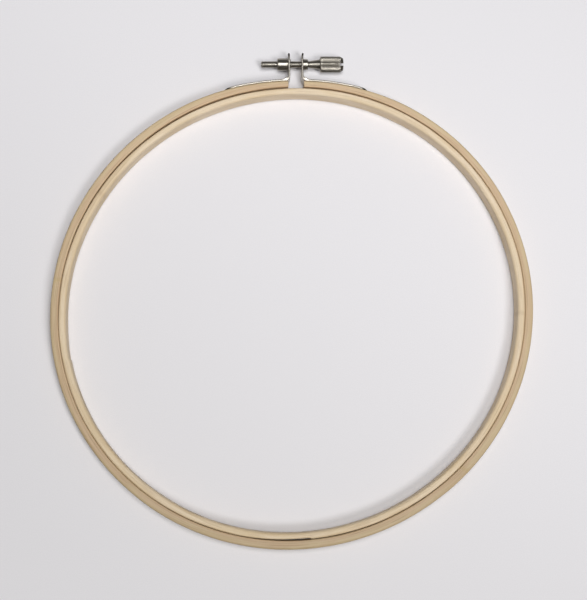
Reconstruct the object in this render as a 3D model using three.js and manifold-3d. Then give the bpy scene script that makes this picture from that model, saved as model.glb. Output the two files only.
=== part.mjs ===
// An embroidery hoop of bamboo, 200 mm across where its two rings meet, lying flat.
// The inner ring is closed. The outer ring is split at the top, and a thumbscrew through
// the ears of two steel brackets draws its ends together around the inner ring.
// Millimetres, +Z up. The screw lies along X and the split faces +Y.

import * as THREE from 'three';
import { mergeVertices } from 'three/addons/utils/BufferGeometryUtils.js';
import Module from 'manifold-3d';

// The two rings
const HOOP_DIAMETER = 200; // where the rings meet, averaged over the out-of-round
const HOOP_HEIGHT = 9.5;
const INNER_THICKNESS = 3.0;
const OUTER_THICKNESS = 3.6;
const RING_CLEARANCE = 0.3; // between the rings, measured on the radius
const OUT_OF_ROUND = 1.76; // how far the long way of the hoop stands out from a circle
const LONG_WAY = THREE.MathUtils.degToRad(23.6); // direction of the long way
const UNEVEN = 0.25; // the outer strip is this much thinner along the long way
const EDGE_ROUND = 0.6; // rounding of the rings' edges

// The split of the outer ring, and the seam opposite it where its two halves meet
const GAP_WIDTH = 6.9;
const END_TAPER = 0.75; // how much thinner the strip is planed at its two ends
const TAPER_LENGTH = 48;
const SEAM_CUT = 0.3;

// The steel brackets, bent from flat strip
const PLATE_THICKNESS = 0.8;
const PLATE_WIDTH = 8.0;
const PLATE_REACH = 31; // from the middle of the split to the plate's tip, along X
const BEND_RADIUS = 1.6; // inside of the bend
const EAR_SPACING = 5.1; // clear distance between the two ears
const EAR_HEIGHT = 13.8; // from the wood's outer face to the ear's tip
const EAR_LEAN = 0.6; // how far the right ear's tip is sprung outwards above the screw's collar
const SCREW_HEIGHT = 8.7; // from the wood's outer face to the screw's axis
const SEAT_GAP = 0.1; // between pieces that are fixed together
const RUNNING_GAP = 0.3; // around the thread, in the ear and in the nut

// The rivets that hold the brackets to the wood
const RIVET_PLACES = [12.5, 24]; // along X from the middle of the split
const RIVET_DIAMETER = 1.8;
const RIVET_HEAD_DIAMETER = 3.4;
const RIVET_HEAD_HEIGHT = 0.6;
const RIVET_CLINCH_DIAMETER = 3.0; // the spread end, sunk into the wood's inner face
const RIVET_CLINCH_HEIGHT = 0.5;

// The nut in the left ear
const NUT_DIAMETER = 5.4;
const NUT_LENGTH = 4.7;
const NUT_CHAMFER = 0.3;
const SPIGOT_DIAMETER = 4.1;
const LIP_DIAMETER = 4.9; // the spigot's end, spread over the inside of the ear
const LIP_THICKNESS = 0.3;

// The thumbscrew, turned from one bar
const THREAD_DIAMETER = 2.9;
const THREAD_PAST_NUT = 7.3;
const TIP_CHAMFER = 0.4;
const COLLAR_DIAMETER = 4.8;
const COLLAR_LENGTH = 2.1;
const NECK_THIN = 2.8;
const NECK_THICK = 4.5;
const NECK_LENGTH = 5.4;
const HEAD_DIAMETER = 7.0;
const HEAD_LENGTH = 10.4;
const HEAD_END_CHAMFER = 1.0;
const HEAD_NECK_CHAMFER = 0.4;
const KNURL_TEETH = 36;
const KNURL_DEPTH = 0.2;
const SLOT_WIDTH = 1.05;
const SLOT_DEPTH = 1.7;

const RING_STEP = THREE.MathUtils.degToRad(3);
const ROUND_SEGMENTS = 32;
const SMALL_SEGMENTS = 16;

const bambooOuter = new THREE.MeshStandardMaterial({ color: 0xcbae86, roughness: 0.62, metalness: 0 });
const bambooInner = new THREE.MeshStandardMaterial({ color: 0xdfc8a2, roughness: 0.6, metalness: 0 });
const platedSteel = new THREE.MeshStandardMaterial({ color: 0xb8b4aa, roughness: 0.3, metalness: 1 });
const turnedSteel = new THREE.MeshStandardMaterial({ color: 0xaaa79c, roughness: 0.25, metalness: 1 });

const wasm = await Module();
wasm.setup();

// A closed geometry as a solid that can be joined and cut, and back again

function toSolid(geometry) {
  const bare = geometry.clone();
  bare.deleteAttribute('normal');
  bare.deleteAttribute('uv');
  const merged = mergeVertices(bare, 1e-4);
  const mesh = new wasm.Mesh({
    numProp: 3,
    vertProperties: new Float32Array(merged.attributes.position.array),
    triVerts: new Uint32Array(merged.index.array),
  });
  return new wasm.Manifold(mesh);
}

function toGeometry(solid) {
  const mesh = solid.getMesh();
  const geometry = new THREE.BufferGeometry();
  geometry.setAttribute('position', new THREE.BufferAttribute(new Float32Array(mesh.vertProperties), 3));
  geometry.setIndex(new THREE.BufferAttribute(new Uint32Array(mesh.triVerts), 1));
  geometry.computeVertexNormals();
  return geometry;
}

// The rings' faces, each as a radius that depends on the direction from the hoop's centre

function meetingRadius(angle) {
  return HOOP_DIAMETER / 2 + OUT_OF_ROUND * Math.cos(2 * (angle - LONG_WAY));
}

// The split is where the rings run parallel to the screw
const GAP_SLOPE = (2 * OUT_OF_ROUND * Math.sin(Math.PI - 2 * LONG_WAY)) / (HOOP_DIAMETER / 2);
const GAP_ANGLE = Math.PI / 2 - Math.atan(GAP_SLOPE);
const CLAMP_X = meetingRadius(GAP_ANGLE) * Math.cos(GAP_ANGLE);
const SEAM_X = -CLAMP_X;
const MIDDLE_Z = HOOP_HEIGHT / 2;

function innerRingInside(angle) {
  return innerRingOutside(angle) - INNER_THICKNESS;
}

function innerRingOutside(angle) {
  return meetingRadius(angle) - RING_CLEARANCE / 2;
}

function outerRingInside(angle) {
  return meetingRadius(angle) + RING_CLEARANCE / 2;
}

function outerRingOutside(angle) {
  const fromGap = Math.abs(Math.atan2(Math.sin(angle - GAP_ANGLE), Math.cos(angle - GAP_ANGLE)));
  const along = fromGap * meetingRadius(angle);
  const taper = END_TAPER * Math.max(0, 1 - along / TAPER_LENGTH);
  const uneven = UNEVEN * Math.cos(2 * (angle - LONG_WAY));
  return outerRingInside(angle) + OUTER_THICKNESS - uneven - taper;
}

function pointOn(face, angle) {
  return new THREE.Vector2(face(angle) * Math.cos(angle), face(angle) * Math.sin(angle));
}

// The direction in which a ring's face crosses a given X, at the top or bottom of the hoop
function angleAtX(face, x, top) {
  let left = top ? Math.PI * 0.8 : Math.PI * 1.2;
  let right = top ? Math.PI * 0.2 : Math.PI * 1.8;
  for (let i = 0; i < 50; i += 1) {
    const middle = (left + right) / 2;
    if (pointOn(face, middle).x < x) {
      left = middle;
    } else {
      right = middle;
    }
  }
  return (left + right) / 2;
}

function arc(face, from, to) {
  const steps = Math.max(1, Math.ceil(Math.abs(to - from) / RING_STEP));
  const points = [];
  for (let i = 0; i <= steps; i += 1) {
    points.push(pointOn(face, from + ((to - from) * i) / steps));
  }
  return points;
}

function extrudeRounded(shape, round) {
  const geometry = new THREE.ExtrudeGeometry(shape, {
    depth: HOOP_HEIGHT - 2 * round,
    bevelEnabled: true,
    bevelThickness: round,
    bevelSize: round,
    bevelOffset: -round,
    bevelSegments: 2,
    steps: 1,
  });
  return geometry.translate(0, 0, round);
}

function innerHoop() {
  const round = Math.min(EDGE_ROUND, INNER_THICKNESS * 0.4);
  const shape = new THREE.Shape(arc(innerRingOutside, 0, 2 * Math.PI).slice(0, -1));
  shape.holes.push(new THREE.Path(arc(innerRingInside, 0, 2 * Math.PI).slice(0, -1)));
  return toSolid(extrudeRounded(shape, round));
}

// Half of the outer ring, from its end at the split to the seam. side is 1 on the right.
function outerHoopHalf(side) {
  const round = Math.min(EDGE_ROUND, (OUTER_THICKNESS - END_TAPER) * 0.4);
  const endX = CLAMP_X + (side * GAP_WIDTH) / 2;
  const seamX = SEAM_X + (side * SEAM_CUT) / 2;
  const turn = side > 0 ? 2 * Math.PI : 0;
  const outside = arc(outerRingOutside,
    angleAtX(outerRingOutside, endX, true) + turn,
    angleAtX(outerRingOutside, seamX, false));
  const inside = arc(outerRingInside,
    angleAtX(outerRingInside, seamX, false),
    angleAtX(outerRingInside, endX, true) + turn);
  let half = toSolid(extrudeRounded(new THREE.Shape([...outside, ...inside]), round));
  for (const place of RIVET_PLACES) {
    half = half.subtract(rivetSolid(side, place, SEAT_GAP));
  }
  return half;
}

// The screw's axis and the ears' tips are measured from the wood's outer face at the split
const WOOD_TOP_Y = pointOn(outerRingOutside, GAP_ANGLE).y;
const SCREW_Y = WOOD_TOP_Y + SCREW_HEIGHT;
const EAR_TIP_Y = WOOD_TOP_Y + EAR_HEIGHT;

// A closed outline of even thickness along an open line of points
function ribbon(line, thickness) {
  const near = [];
  const far = [];
  line.forEach((point, i) => {
    const before = line[Math.max(0, i - 1)];
    const after = line[Math.min(line.length - 1, i + 1)];
    const along = after.clone().sub(before).normalize();
    const across = new THREE.Vector2(-along.y, along.x).multiplyScalar(thickness / 2);
    near.push(point.clone().add(across));
    far.unshift(point.clone().sub(across));
  });
  return new THREE.Shape([...near, ...far]);
}

// A strip that ends in a half circle at a distance from zero, extruded both ways
function roundedStrip(reach, width, extent) {
  const shape = new THREE.Shape();
  shape.moveTo(0, -width / 2);
  shape.lineTo(reach - width / 2, -width / 2);
  shape.absarc(reach - width / 2, 0, width / 2, -Math.PI / 2, Math.PI / 2, false);
  shape.lineTo(0, width / 2);
  const geometry = new THREE.ExtrudeGeometry(shape, {
    depth: extent,
    bevelEnabled: false,
    curveSegments: ROUND_SEGMENTS / 2,
  });
  return geometry.translate(0, 0, -extent / 2);
}

// A bracket: a plate along the wood's outer face, a bend, and an ear with the screw's hole
function bracket(side, holeDiameter) {
  const plateMiddle = (angle) => outerRingOutside(angle) + SEAT_GAP + PLATE_THICKNESS / 2;
  const earX = CLAMP_X + side * (EAR_SPACING / 2 + PLATE_THICKNESS / 2);
  const bend = BEND_RADIUS + PLATE_THICKNESS / 2;
  const bendAngle = angleAtX(plateMiddle, earX + side * bend, true);
  const foot = pointOn(plateMiddle, bendAngle);
  const next = pointOn(plateMiddle, bendAngle - side * RING_STEP);
  const slope = Math.atan2(foot.y - next.y, Math.abs(foot.x - next.x));
  const line = arc(plateMiddle, angleAtX(plateMiddle, CLAMP_X + side * PLATE_REACH, true), bendAngle);
  line.pop();
  const bendSteps = 8;
  const centreX = earX + side * bend;
  const footX = centreX - side * bend * Math.sin(slope);
  const footY = pointOn(plateMiddle, angleAtX(plateMiddle, footX, true)).y;
  const centreY = footY + bend * Math.cos(slope);
  for (let i = 0; i <= bendSteps; i += 1) {
    const turned = slope + ((Math.PI / 2 - slope) * i) / bendSteps;
    line.push(new THREE.Vector2(
      centreX - side * bend * Math.sin(turned),
      centreY - bend * Math.cos(turned),
    ));
  }
  // the ear stands straight up to the collar's rim. Its end runs past the tip, to be cut round.
  const leanFrom = SCREW_Y + COLLAR_DIAMETER / 2;
  const leanTo = EAR_TIP_Y + PLATE_THICKNESS / 2;
  const lean = side > 0 ? EAR_LEAN : 0;
  const leanSteps = 4;
  for (let i = 0; i <= leanSteps; i += 1) {
    const share = i / leanSteps;
    line.push(new THREE.Vector2(
      earX + side * lean * share * share,
      leanFrom + (leanTo - leanFrom) * share,
    ));
  }
  const strip = new THREE.ExtrudeGeometry(ribbon(line, PLATE_THICKNESS), {
    depth: PLATE_WIDTH,
    bevelEnabled: false,
  }).translate(0, 0, MIDDLE_Z - PLATE_WIDTH / 2);
  // rounded as seen from the end of the screw, and as seen from the split
  const earForm = roundedStrip(EAR_TIP_Y, PLATE_WIDTH, 2 * HOOP_DIAMETER);
  earForm.applyMatrix4(new THREE.Matrix4().makeBasis(
    new THREE.Vector3(0, 1, 0), new THREE.Vector3(0, 0, 1), new THREE.Vector3(1, 0, 0)));
  earForm.translate(0, 0, MIDDLE_Z);
  const tipForm = roundedStrip(PLATE_REACH, PLATE_WIDTH, 2 * HOOP_DIAMETER);
  tipForm.rotateX(Math.PI / 2);
  if (side < 0) {
    tipForm.rotateZ(Math.PI);
  }
  tipForm.translate(CLAMP_X, 0, MIDDLE_Z);
  const hole = new THREE.CylinderGeometry(
    holeDiameter / 2, holeDiameter / 2, 4 * PLATE_THICKNESS, ROUND_SEGMENTS);
  hole.rotateZ(Math.PI / 2).translate(earX, SCREW_Y, MIDDLE_Z);
  let solid = toSolid(strip).intersect(toSolid(earForm)).intersect(toSolid(tipForm));
  solid = solid.subtract(toSolid(hole));
  for (const place of RIVET_PLACES) {
    solid = solid.subtract(rivetSolid(side, place, SEAT_GAP));
  }
  return solid;
}

// A rivet, pointing out from the hoop. Grown by an allowance, it cuts its own hole.
function rivetSolid(side, place, allowance) {
  const angle = angleAtX(outerRingOutside, CLAMP_X + side * place, true);
  const plateFace = outerRingOutside(angle) + SEAT_GAP + PLATE_THICKNESS;
  const woodFace = outerRingInside(angle);
  const shank = RIVET_DIAMETER / 2 + allowance;
  const clinch = RIVET_CLINCH_DIAMETER / 2 + allowance;
  const head = RIVET_HEAD_DIAMETER / 2;
  const headFoot = plateFace + SEAT_GAP;
  const inner = woodFace + SEAT_GAP - allowance * 4;
  const profile = [
    new THREE.Vector2(0, inner),
    new THREE.Vector2(clinch, inner),
    new THREE.Vector2(clinch, woodFace + SEAT_GAP + RIVET_CLINCH_HEIGHT + allowance),
    new THREE.Vector2(shank, woodFace + SEAT_GAP + RIVET_CLINCH_HEIGHT + allowance),
    new THREE.Vector2(shank, headFoot),
  ];
  const domeSteps = allowance > 0 ? 0 : 4;
  for (let i = 0; i < domeSteps; i += 1) {
    const turned = (Math.PI / 2) * (i / domeSteps);
    profile.push(new THREE.Vector2(head * Math.cos(turned), headFoot + RIVET_HEAD_HEIGHT * Math.sin(turned)));
  }
  profile.push(new THREE.Vector2(0, headFoot + RIVET_HEAD_HEIGHT));
  const geometry = new THREE.LatheGeometry(profile, SMALL_SEGMENTS);
  geometry.rotateZ(angle - Math.PI / 2).translate(0, 0, MIDDLE_Z);
  return toSolid(geometry);
}

// A turned form about the screw's axis. Each point is a radius and a distance along X
// from the middle of the split.
function turned(points, segments = ROUND_SEGMENTS) {
  const profile = points.map(([radius, along]) => new THREE.Vector2(radius, along));
  return toSolid(new THREE.LatheGeometry(profile, segments).rotateZ(-Math.PI / 2));
}

const EAR_INSIDE = EAR_SPACING / 2;
const EAR_OUTSIDE = EAR_INSIDE + PLATE_THICKNESS;
const BORE_RADIUS = THREAD_DIAMETER / 2 + RUNNING_GAP;
const NUT_FOOT = -EAR_OUTSIDE - SEAT_GAP;
const NUT_END = NUT_FOOT - NUT_LENGTH;

// The nut: a barrel outside the left ear, a spigot through it and a spread lip inside it
function barrelNut() {
  const barrel = NUT_DIAMETER / 2;
  const spigot = SPIGOT_DIAMETER / 2;
  const lip = LIP_DIAMETER / 2;
  const lipFoot = -EAR_INSIDE + SEAT_GAP;
  const lipEnd = lipFoot + LIP_THICKNESS;
  return turned([
    [BORE_RADIUS, NUT_END],
    [barrel - NUT_CHAMFER, NUT_END],
    [barrel, NUT_END + NUT_CHAMFER],
    [barrel, NUT_FOOT],
    [spigot, NUT_FOOT],
    [spigot, lipFoot],
    [lip, lipFoot],
    [lip, lipEnd],
    [BORE_RADIUS, lipEnd],
    [BORE_RADIUS, NUT_END],
  ]);
}

// The head's straight-knurled barrel, as a star of fine teeth along the screw's axis
function knurledHead(from, to) {
  const outline = [];
  for (let i = 0; i < 2 * KNURL_TEETH; i += 1) {
    const radius = HEAD_DIAMETER / 2 - (i % 2) * KNURL_DEPTH;
    const angle = (Math.PI * i) / KNURL_TEETH;
    outline.push(new THREE.Vector2(radius * Math.cos(angle), radius * Math.sin(angle)));
  }
  const star = new THREE.ExtrudeGeometry(new THREE.Shape(outline), {
    depth: to - from,
    bevelEnabled: false,
  });
  star.rotateY(Math.PI / 2).translate(from, 0, 0);
  const full = HEAD_DIAMETER / 2;
  const chamfered = turned([
    [0, from],
    [full - HEAD_NECK_CHAMFER, from],
    [full, from + HEAD_NECK_CHAMFER],
    [full, to - HEAD_END_CHAMFER],
    [full - HEAD_END_CHAMFER, to],
    [0, to],
  ], 2 * KNURL_TEETH);
  return toSolid(star).intersect(chamfered);
}

function thumbscrew() {
  const thread = THREAD_DIAMETER / 2;
  const tip = NUT_END - THREAD_PAST_NUT;
  const collarFrom = EAR_OUTSIDE + SEAT_GAP;
  const collarTo = collarFrom + COLLAR_LENGTH;
  const headFrom = collarTo + NECK_LENGTH;
  const headTo = headFrom + HEAD_LENGTH;
  const shaft = turned([
    [0, tip],
    [thread - TIP_CHAMFER, tip],
    [thread, tip + TIP_CHAMFER],
    [thread, collarFrom],
    [COLLAR_DIAMETER / 2, collarFrom],
    [COLLAR_DIAMETER / 2, collarTo],
    [NECK_THIN / 2, collarTo],
    [NECK_THICK / 2, headFrom],
    [NECK_THICK / 2, headFrom + HEAD_LENGTH / 2],
    [0, headFrom + HEAD_LENGTH / 2],
  ]);
  const slot = new THREE.BoxGeometry(2 * SLOT_DEPTH, SLOT_WIDTH, 2 * HEAD_DIAMETER);
  slot.translate(headTo, 0, 0);
  return shaft.add(knurledHead(headFrom, headTo)).subtract(toSolid(slot));
}

// Assembly

const hoop = new THREE.Group();
hoop.name = 'embroidery_hoop';

function addPiece(name, solid, material, parent = hoop) {
  const mesh = new THREE.Mesh(toGeometry(solid), material);
  mesh.name = name;
  parent.add(mesh);
}

addPiece('inner_hoop', innerHoop(), bambooInner);
addPiece('outer_hoop_right', outerHoopHalf(1), bambooOuter);
addPiece('outer_hoop_left', outerHoopHalf(-1), bambooOuter);
addPiece('bracket_right', bracket(1, THREAD_DIAMETER + 2 * RUNNING_GAP), platedSteel);
addPiece('bracket_left', bracket(-1, SPIGOT_DIAMETER + 2 * SEAT_GAP), platedSteel);
for (const [side, sideName] of [[1, 'right'], [-1, 'left']]) {
  RIVET_PLACES.forEach((place, i) => {
    addPiece(`rivet_${sideName}_${i + 1}`, rivetSolid(side, place, 0), platedSteel);
  });
}

const clamp = new THREE.Group();
clamp.position.set(CLAMP_X, SCREW_Y, MIDDLE_Z);
hoop.add(clamp);
addPiece('barrel_nut', barrelNut(), turnedSteel, clamp);
addPiece('thumbscrew', thumbscrew(), turnedSteel, clamp);

// The origin is the middle of the whole hoop's footprint, on the surface it lies on
hoop.updateMatrixWorld(true);
const extent = new THREE.Box3().setFromObject(hoop);
const middle = extent.getCenter(new THREE.Vector3());
hoop.position.set(-middle.x, -middle.y, -extent.min.z);
hoop.updateMatrixWorld(true);

export default hoop;
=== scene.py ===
import math

import bpy
import numpy as np
from mathutils import Matrix, Vector


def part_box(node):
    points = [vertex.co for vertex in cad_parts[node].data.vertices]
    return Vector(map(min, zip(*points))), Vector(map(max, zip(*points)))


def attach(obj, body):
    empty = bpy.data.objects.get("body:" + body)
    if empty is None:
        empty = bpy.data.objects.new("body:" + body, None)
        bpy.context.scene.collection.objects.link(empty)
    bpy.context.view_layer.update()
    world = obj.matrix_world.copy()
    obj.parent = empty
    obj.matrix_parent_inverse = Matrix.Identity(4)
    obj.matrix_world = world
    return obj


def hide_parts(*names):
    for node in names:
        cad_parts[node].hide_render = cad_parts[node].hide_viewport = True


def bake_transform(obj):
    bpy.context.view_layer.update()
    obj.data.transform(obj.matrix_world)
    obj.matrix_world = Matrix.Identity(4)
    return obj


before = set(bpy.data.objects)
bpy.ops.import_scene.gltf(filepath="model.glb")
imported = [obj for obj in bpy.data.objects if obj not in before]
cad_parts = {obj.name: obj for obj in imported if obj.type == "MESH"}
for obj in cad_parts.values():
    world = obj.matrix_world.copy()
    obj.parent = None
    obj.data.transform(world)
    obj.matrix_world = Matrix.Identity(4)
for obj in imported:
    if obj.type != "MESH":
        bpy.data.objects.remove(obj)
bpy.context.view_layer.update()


# Inner hoop
# One strip of split bamboo, planed to 3 mm, steamed round and glued to itself with a long
# scarf, then sanded. The outer lap ends in a small step on its outer face, at the hoop's foot.

MM = 0.001
HOOP_HEIGHT = 9.5
MEETING_RADIUS = 100.0
OUT_OF_ROUND = 1.76
LONG_WAY = math.radians(23.6)
RING_GAP = 0.24
GAP_SWING = 0.2
WIDEST_AT = math.radians(103)
CLOSEST = 0.05
HALF_PLAY = 0.15
INNER_THICKNESS = 3.0
INNER_ROUNDS = (1.25, 0.75)
CORNER_STEPS = 6
STATION_LENGTH = 0.9
MEETING_UNEVEN = 0.03
INNER_UNEVEN = 0.12
HEIGHT_UNEVEN = 0.006
STEP_PLACE = math.radians(-86.9)
STEP_DEPTH = 0.48
STEP_FADE = math.radians(17)
STEP_RUN = 0.0015
NOTCH_PLACE = math.radians(192)
NOTCH_DEPTH = 0.3
NOTCH_FADE = math.radians(9)
SCARF_LENGTH = 62.0

low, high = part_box("inner_hoop")
HOOP_CENTRE = (low + high) / 2 / MM


def meeting_radius(angle):
    """Where the rings meet, in mm from the hoop's centre. The hoop is slightly out of round."""
    return MEETING_RADIUS + OUT_OF_ROUND * np.cos(2 * (angle - LONG_WAY))


def gap_half(angle):
    """Half of the gap between the rings, in mm. It is widest at the top and the foot."""
    from_wide = angle - WIDEST_AT
    gap = RING_GAP + GAP_SWING * (np.cos(2 * from_wide) + np.cos(from_wide))
    return np.maximum(gap, CLOSEST) / 2


def hand_finish(angle, amount, seed):
    """Slow unevenness round a ring, up to about the amount, as planing and sanding leave."""
    turns = np.array([2, 5, 9, 14, 23, 37])
    weights = np.array([0.3, 0.25, 0.2, 0.12, 0.08, 0.05])
    waves = np.sin(np.multiply.outer(angle, turns) + seed * turns)
    return amount * (waves @ weights)


def strip_section(rounds):
    """Points round a strip's section: share of the thickness, offset across, height, and the
    direction that faces out. rounds are the radii of its sanded corners, inside and outside.
    The last number of a corner is the count of steps on the flat that follows it."""
    inside, outside = rounds
    corners = [
        (1, -outside, outside, -90, 6),
        (1, -outside, HOOP_HEIGHT - outside, 0, 4),
        (0, inside, HOOP_HEIGHT - inside, 90, 6),
        (0, inside, inside, 180, 4),
    ]
    arcs = []
    for share, across, height, start, flat_steps in corners:
        turn = np.radians(start + np.linspace(0, 90, CORNER_STEPS + 1))
        facing = np.stack([np.cos(turn), np.sin(turn)], 1)
        shares = np.full((len(turn), 1), share)
        places = facing * abs(across) + (across, height)
        arcs.append((np.hstack([shares, places, facing]), flat_steps))
    rows = []
    for i, (arc, flat_steps) in enumerate(arcs):
        following = arcs[(i + 1) % len(arcs)][0]
        steps = np.linspace(0, 1, flat_steps + 1)[1:-1, None]
        rows += [arc, arc[-1] * (1 - steps) + following[0] * steps]
    return np.vstack(rows)


def add_piece(name, mesh):
    """An object for a finished mesh, smooth but for its real edges."""
    mesh.shade_smooth()
    mesh.set_sharp_from_angle(angle=math.radians(38))
    piece = bpy.data.objects.new(name, mesh)
    bpy.context.scene.collection.objects.link(piece)
    return piece


def mesh_from(name, points, faces):
    """A mesh from points in mm and lists of their numbers, facing outwards."""
    points = np.asarray(points, float)
    faces = [list(face) for face in faces]
    fans = [(f[0], f[i], f[i + 1]) for f in faces for i in range(1, len(f) - 1)]
    a, b, c = (points[[fan[i] for fan in fans]] for i in range(3))
    if np.einsum("ij,ij->i", a, np.cross(b, c)).sum() < 0:
        faces = [face[::-1] for face in faces]
    mesh = bpy.data.meshes.new(name)
    mesh.from_pydata((points * MM).tolist(), [], faces)
    mesh.validate()
    return mesh


def keep(mesh, name, values, domain="POINT"):
    """Stores a number or vector for each of a mesh's points or corners, as an attribute."""
    values = np.asarray(values, np.float32)
    kind, label = ("FLOAT_VECTOR", "vector") if values.ndim > 1 else ("FLOAT", "value")
    mesh.attributes.new(name, kind, domain).data.foreach_set(label, values.ravel())


def bent_strip(name, rounds, angles, inside, thickness, shrink, closed):
    """A bamboo strip swept round the hoop's centre. angles has a column for each point of the
    section, and the others a value for each station. The attribute grain keeps each point's
    place on the straight strip, in mm: along, across and up."""
    section = strip_section(rounds)
    share, offset, height, out_across, out_up = section.T
    shrink = shrink[:, None]
    across = share * thickness[:, None] + offset - out_across * shrink
    up = height - out_up * shrink
    middle = angles.mean(1)
    unevenness = hand_finish(middle, HEIGHT_UNEVEN, 1.3 + len(angles))
    up = up * (1 - HEIGHT_UNEVEN + unevenness[:, None])
    radius = inside[:, None] + across
    places = np.stack([radius * np.cos(angles), radius * np.sin(angles), up], 2)
    places[:, :, :2] += HOOP_CENTRE[:2]
    along = np.abs(middle - middle[0]) * MEETING_RADIUS
    grain = np.stack([np.broadcast_to(along[:, None], up.shape), across, up], 2)
    stations, around = up.shape
    number = np.arange(stations * around).reshape(stations, around)
    grain = grain.reshape(-1, 3)
    # whichever way the angles run, the faces are wound to face out
    way = 1 if middle[0] > middle[-1] else -1
    faces, face_grain = [], []
    for i in range(stations if closed else stations - 1):
        here, there = number[i], number[(i + 1) % stations]
        carry = grain[there] + (0 if i + 1 < stations else (2 * math.pi * MEETING_RADIUS, 0, 0))
        for j in range(around):
            k = (j + 1) % around
            faces.append([here[j], here[k], there[k], there[j]][::way])
            face_grain += [grain[here[j]], grain[here[k]], carry[k], carry[j]][::way]
    if not closed:
        for end in (number[0][::-way], number[-1][::way]):
            faces.append(list(end))
            face_grain += list(grain[end])
    mesh = bpy.data.meshes.new(name)
    mesh.from_pydata((places.reshape(-1, 3) * MM).tolist(), [], faces)
    keep(mesh, "grain", face_grain, "CORNER")
    return add_piece(name, mesh)


def fading(angle, place, fade):
    """1 just before a place on the ring, falling smoothly to 0 over the fade before it."""
    before = np.mod(place - angle, 2 * math.pi) / fade
    falling = np.clip(1 - before, 0, 1)
    return falling * falling * (3 - 2 * falling)


station_count = int(2 * math.pi * MEETING_RADIUS / STATION_LENGTH)
inner_angles = STEP_PLACE + np.linspace(0, 2 * math.pi - STEP_RUN, station_count)
inner_outside = meeting_radius(inner_angles) - gap_half(inner_angles)
inner_outside += hand_finish(inner_angles, MEETING_UNEVEN, 0.4)
inner_outside -= STEP_DEPTH * fading(inner_angles, STEP_PLACE, STEP_FADE)
inner_inside = meeting_radius(inner_angles) - HALF_PLAY - INNER_THICKNESS
inner_inside += hand_finish(inner_angles, INNER_UNEVEN, 2.1)
inner_inside += NOTCH_DEPTH * fading(inner_angles, NOTCH_PLACE, NOTCH_FADE)
section_size = len(strip_section(INNER_ROUNDS))
inner_hoop = bent_strip(
    "inner_hoop_bamboo",
    INNER_ROUNDS,
    np.repeat(inner_angles[:, None], section_size, 1),
    inner_inside,
    inner_outside - inner_inside,
    np.zeros(station_count),
    closed=True,
)


def node(tree, kind, inputs=(), **settings):
    """A shader node. inputs pairs a socket's name or number with a value or another socket."""
    made = tree.nodes.new("ShaderNode" + kind)
    for setting, value in settings.items():
        setattr(made, setting, value)
    for socket, value in dict(inputs).items():
        if isinstance(value, bpy.types.NodeSocket):
            tree.links.new(value, made.inputs[socket])
        else:
            made.inputs[socket].default_value = value
    return made


def reckon(tree, operation, *values):
    """The result of a Math node."""
    return node(tree, "Math", enumerate(values), operation=operation).outputs[0]


def times(tree, first, second):
    return reckon(tree, "MULTIPLY", first, second)


def spread(tree, value, low, high, to_low=0.0, to_high=1.0):
    """A value stretched from one range to another and kept inside it, with soft ends."""
    inputs = {0: value, 1: low, 2: high, 3: to_low, 4: to_high}
    return node(tree, "MapRange", inputs, interpolation_type="SMOOTHSTEP").outputs[0]


def blend_colours(tree, share, first, second, how="MIX"):
    """The first colour with a share of the second over it."""
    inputs = {0: share, 6: first, 7: second}
    return node(tree, "Mix", inputs, data_type="RGBA", blend_type=how).outputs[2]


def srgb(red, green, blue):
    """A colour as seen on screen, 0 to 255, as the linear values that a shader takes."""
    seen = [channel / 255 for channel in (red, green, blue)]
    return [c / 12.92 if c <= 0.04045 else ((c + 0.055) / 1.055) ** 2.4 for c in seen] + [1]


def new_group(name, inputs, outputs):
    """An empty shader group. Both lists name sockets, and inputs also gives their defaults."""
    group = bpy.data.node_groups.new(name, "ShaderNodeTree")
    for label, value in inputs.items():
        kind = "NodeSocketVector" if isinstance(value, tuple) else "NodeSocketFloat"
        socket = group.interface.new_socket(label, in_out="INPUT", socket_type=kind)
        socket.default_value = value
    for label in outputs:
        group.interface.new_socket(label, in_out="OUTPUT", socket_type="NodeSocketFloat")
    given = group.nodes.new("NodeGroupInput").outputs
    return group, given, group.nodes.new("NodeGroupOutput").inputs


def place_group(tree, group, **inputs):
    """A shader group placed in a material with its own values. Returns its outputs."""
    inputs = {label.replace("_", " "): value for label, value in inputs.items()}
    return node(tree, "Group", inputs, node_tree=group).outputs


def split_up(tree, vector):
    """The three numbers of a vector."""
    return node(tree, "SeparateXYZ", {0: vector}).outputs


def stretched(tree, vector, *scale):
    """A vector multiplied by three numbers."""
    inputs = {0: vector, 1: scale}
    return node(tree, "VectorMath", inputs, operation="MULTIPLY").outputs[0]


def noise(tree, vector, detail=2.0, roughness=0.5):
    """Smooth noise, about 0.3 to 0.7."""
    inputs = {"Vector": vector, "Scale": 1.0, "Detail": detail, "Roughness": roughness}
    return node(tree, "TexNoise", inputs).outputs["Fac"]


# Split bamboo's figure, from a place on the straight strip in mm: tight fibres along it, brown
# vascular bundles that show as threads on a face and dots on an end, a joint now and then.
bamboo_figure, given, result = new_group(
    "bamboo figure",
    {"Place": (0.0, 0.0, 0.0), "Fibre Width": 0.2, "Bundle Spacing": 0.6, "Joint Spacing": 240.0,
     "First Joint": 90.0},
    ["Tone", "Fibres", "Bundles", "Joints", "Sanding", "Height"],
)
tree = bamboo_figure
place = given["Place"]
tone = noise(tree, stretched(tree, place, 0.045, 0.35, 0.2), 3.0, 0.55)
finer = reckon(tree, "DIVIDE", 1.0, given["Fibre Width"])
fibre_place = node(tree, "VectorMath", {0: stretched(tree, place, 0.008, 1, 1), "Scale": finer},
                   operation="SCALE")
fibres = noise(tree, fibre_place.outputs[0], 3.0, 0.6)
wander = node(tree, "TexNoise", {"Vector": stretched(tree, place, 0.03, 0.1, 0.1), "Scale": 1.0})
wandering = stretched(tree, wander.outputs["Color"], 0.0, 1.4, 1.4)
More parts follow.
